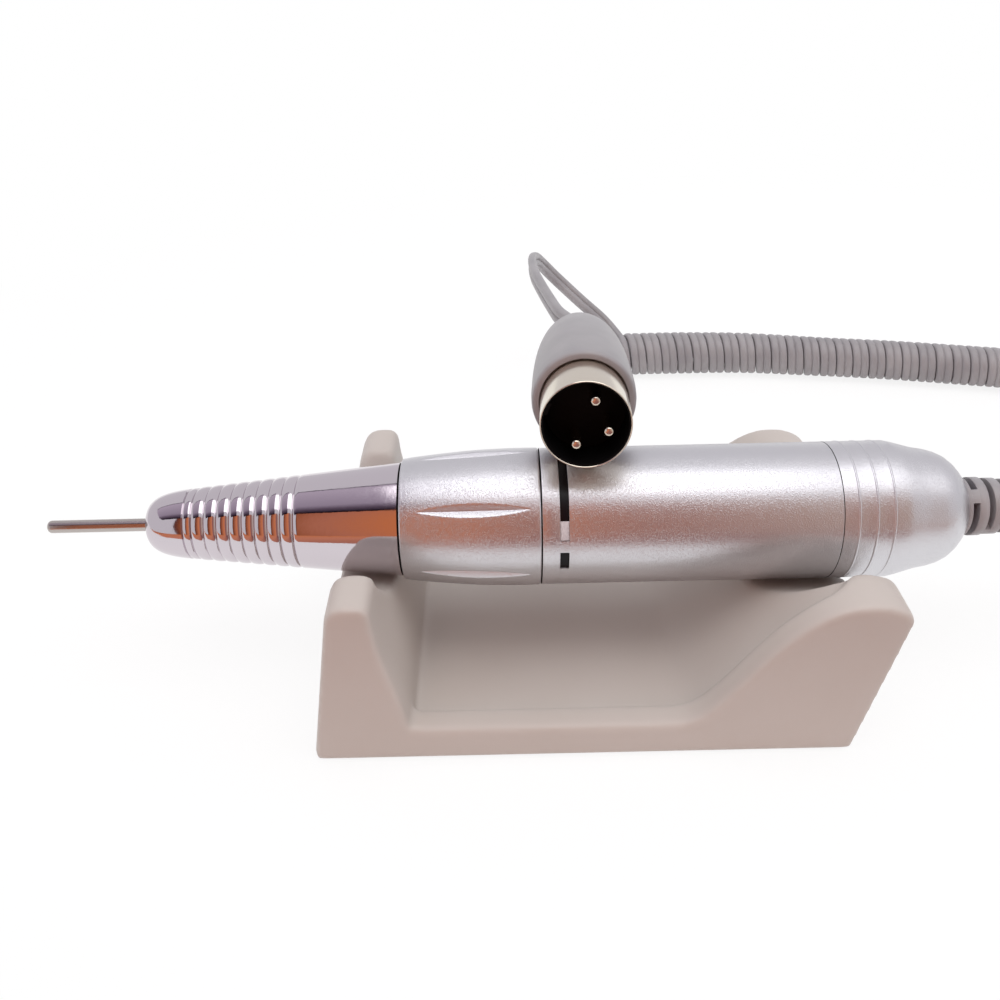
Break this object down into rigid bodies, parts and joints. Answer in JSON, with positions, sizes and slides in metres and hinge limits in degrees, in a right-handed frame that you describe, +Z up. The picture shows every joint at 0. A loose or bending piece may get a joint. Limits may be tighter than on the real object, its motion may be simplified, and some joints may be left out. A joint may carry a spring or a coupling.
{
  "type": "electric nail drill",
  "caption": "Twist-lock rotary nail drill handpiece resting in a moulded cradle, with a curly twin lead and a round pin plug.",
  "frame": {"origin": "on the table, below the middle of the cradle and handpiece without the cord and plug", "axes": "+X along the handpiece from its bit towards its cord, +Y away from the viewer, +Z up"},
  "size_m": [0.3147, 0.1602, 0.062],
  "materials": {
    "cradle_plastic": "fine satin moulding",
    "chromed_brass": "mirror chrome",
    "satin_silver": "bead-blasted and anodised silver",
    "bright_steel": "ground",
    "motor_steel": "zinc plated",
    "brass": "turned",
    "copper": "enamelled copper",
    "ferrite": "ground ferrite",
    "carbon": "pressed carbon",
    "nickel": "bright nickel",
    "black_plastic": "moulded",
    "grey_cord": "matt grey cord plastic"
  },
  "bodies": {
    "cradle": {"cradle": "cradle_plastic"},
    "handpiece": {"nose_cone": "chromed_brass", "front_sleeve": "satin_silver", "index_ring": "black_plastic", "body_tube": "satin_silver", "rear_cap": "satin_silver", "cord_boot": "grey_cord", "cord_clamp": "brass", "handpiece_lead": "grey_cord", "curly_cord": "grey_cord", "plug_lead": "grey_cord", "plug_overmould": "grey_cord", "plug_shell": "nickel", "plug_insulator": "black_plastic", "plug_pin_1": "nickel", "plug_pin_2": "nickel", "plug_pin_3": "nickel", "nose_bearing_1": "bright_steel", "nose_bearing_2": "bright_steel", "bearing_spacer": "brass", "sleeve_bearing": "bright_steel", "inner_sleeve": "brass", "motor_case": "motor_steel", "front_end_bell": "motor_steel", "brush_plate": "black_plastic", "front_motor_bearing": "bright_steel", "rear_motor_bearing": "bright_steel", "magnet_lower": "ferrite", "magnet_upper": "ferrite", "carbon_brush_left": "carbon", "carbon_brush_right": "carbon", "brush_holder_left": "brass", "brush_holder_right": "brass", "brush_spring_left": "bright_steel", "brush_spring_right": "bright_steel"},
    "spindle": {"rotor_shaft": "bright_steel", "rotor_core": "motor_steel", "front_winding": "copper", "rear_winding": "copper", "commutator": "copper", "drive_dog": "bright_steel", "drive_fork": "bright_steel", "spindle_shaft": "bright_steel", "chuck_spring": "bright_steel"},
    "chuck": {"collet": "bright_steel", "drawbar": "bright_steel", "cross_pin": "bright_steel"},
    "collar": {"lock_collar": "satin_silver", "cam_ring": "bright_steel"},
    "release": {"release_ring": "bright_steel", "release_pin_left": "bright_steel", "release_pin_right": "bright_steel", "push_ring": "bright_steel"},
    "bit": {"bit": "bright_steel"}
  },
  "joints": [
    {"name": "handpiece_lift", "type": "slide", "parent": "cradle", "child": "handpiece", "axis": [0, 0, 1], "range_m": [0, 0.07]},
    {"name": "spindle_spin", "type": "hinge", "parent": "handpiece", "child": "spindle", "pos_m": [0, 0, 0.03125], "axis": [1, 0, 0], "continuous": true},
    {"name": "chuck_slide", "type": "slide", "parent": "spindle", "child": "chuck", "axis": [-1, 0, 0], "range_m": [0, 0.0008], "deforming": ["chuck_spring"]},
    {"name": "bit_pull", "type": "slide", "parent": "chuck", "child": "bit", "axis": [-1, 0, 0], "range_m": [0, 0.022]},
    {"name": "collar_twist", "type": "hinge", "parent": "handpiece", "child": "collar", "pos_m": [0, 0, 0.03125], "axis": [1, 0, 0], "range_deg": [0, 60]},
    {"name": "release_slide", "type": "slide", "parent": "handpiece", "child": "release", "axis": [-1, 0, 0], "range_m": [0, 0.0015]}
  ],
  "couplings": [
    {"joint": "release_slide", "follows": "collar_twist", "m_per_rad": 0.0014323},
    {"joint": "chuck_slide", "follows": "collar_twist", "m_per_rad": 0.0007639}
  ]
}
